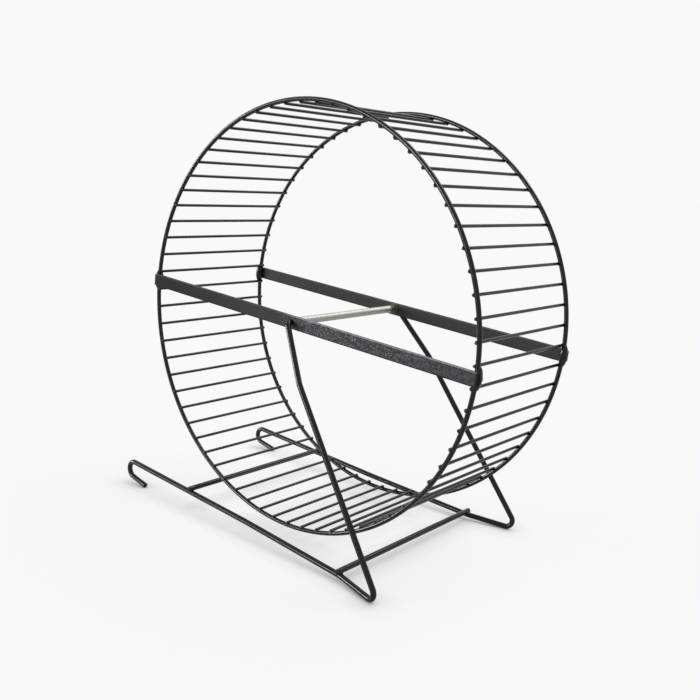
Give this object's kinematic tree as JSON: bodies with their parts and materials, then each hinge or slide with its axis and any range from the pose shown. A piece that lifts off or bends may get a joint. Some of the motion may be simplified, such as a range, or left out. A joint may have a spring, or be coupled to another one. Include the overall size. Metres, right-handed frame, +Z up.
{
  "type": "rodent exercise wheel",
  "caption": "Open wire running drum for a small rodent, with flat cross bars and an axle tube, spinning on a free-standing bent wire stand with hooked ends.",
  "frame": {"origin": "on the floor, straight below the middle of the axle", "axes": "+Z up, +Y along the axle towards the rear, +X from the hooks towards the feet"},
  "size_m": [0.2949, 0.1662, 0.2911],
  "materials": {
    "black_coat": "black powder coat on steel wire, satin",
    "hammered_coat": "black and grey hammered coat on flat steel bar",
    "bright_tube": "bare drawn steel tube"
  },
  "bodies": {
    "stand": {"front_side_wire": "black_coat", "rear_side_wire": "black_coat", "foot_cross_wire": "black_coat", "hook_cross_wire": "black_coat"},
    "wheel": {"front_ring": "black_coat", "rear_ring": "black_coat", "front_bar": "hammered_coat", "rear_bar": "hammered_coat", "axle_tube": "bright_tube", "rung_pair_01": "black_coat", "rung_pair_02": "black_coat", "rung_pair_03": "black_coat", "rung_pair_04": "black_coat", "rung_pair_05": "black_coat", "rung_pair_06": "black_coat", "rung_pair_07": "black_coat", "rung_pair_08": "black_coat", "rung_pair_09": "black_coat", "rung_pair_10": "black_coat", "rung_pair_11": "black_coat", "rung_pair_12": "black_coat", "rung_pair_13": "black_coat", "rung_pair_14": "black_coat", "rung_pair_15": "black_coat", "rung_pair_16": "black_coat", "rung_pair_17": "black_coat", "rung_pair_18": "black_coat", "rung_pair_19": "black_coat", "rung_pair_20": "black_coat", "rung_pair_21": "black_coat", "rung_pair_22": "black_coat", "rung_pair_23": "black_coat", "rung_pair_24": "black_coat", "rung_pair_25": "black_coat", "rung_pair_26": "black_coat", "rung_pair_27": "black_coat", "rung_pair_28": "black_coat", "rung_pair_29": "black_coat", "rung_pair_30": "black_coat", "rung_pair_31": "black_coat", "rung_pair_32": "black_coat", "rung_pair_33": "black_coat"}
  },
  "joints": [
    {"name": "wheel_spin", "type": "hinge", "parent": "stand", "child": "wheel", "pos_m": [0, 0, 0.14959], "axis": [0, 1, 0], "continuous": true}
  ]
}
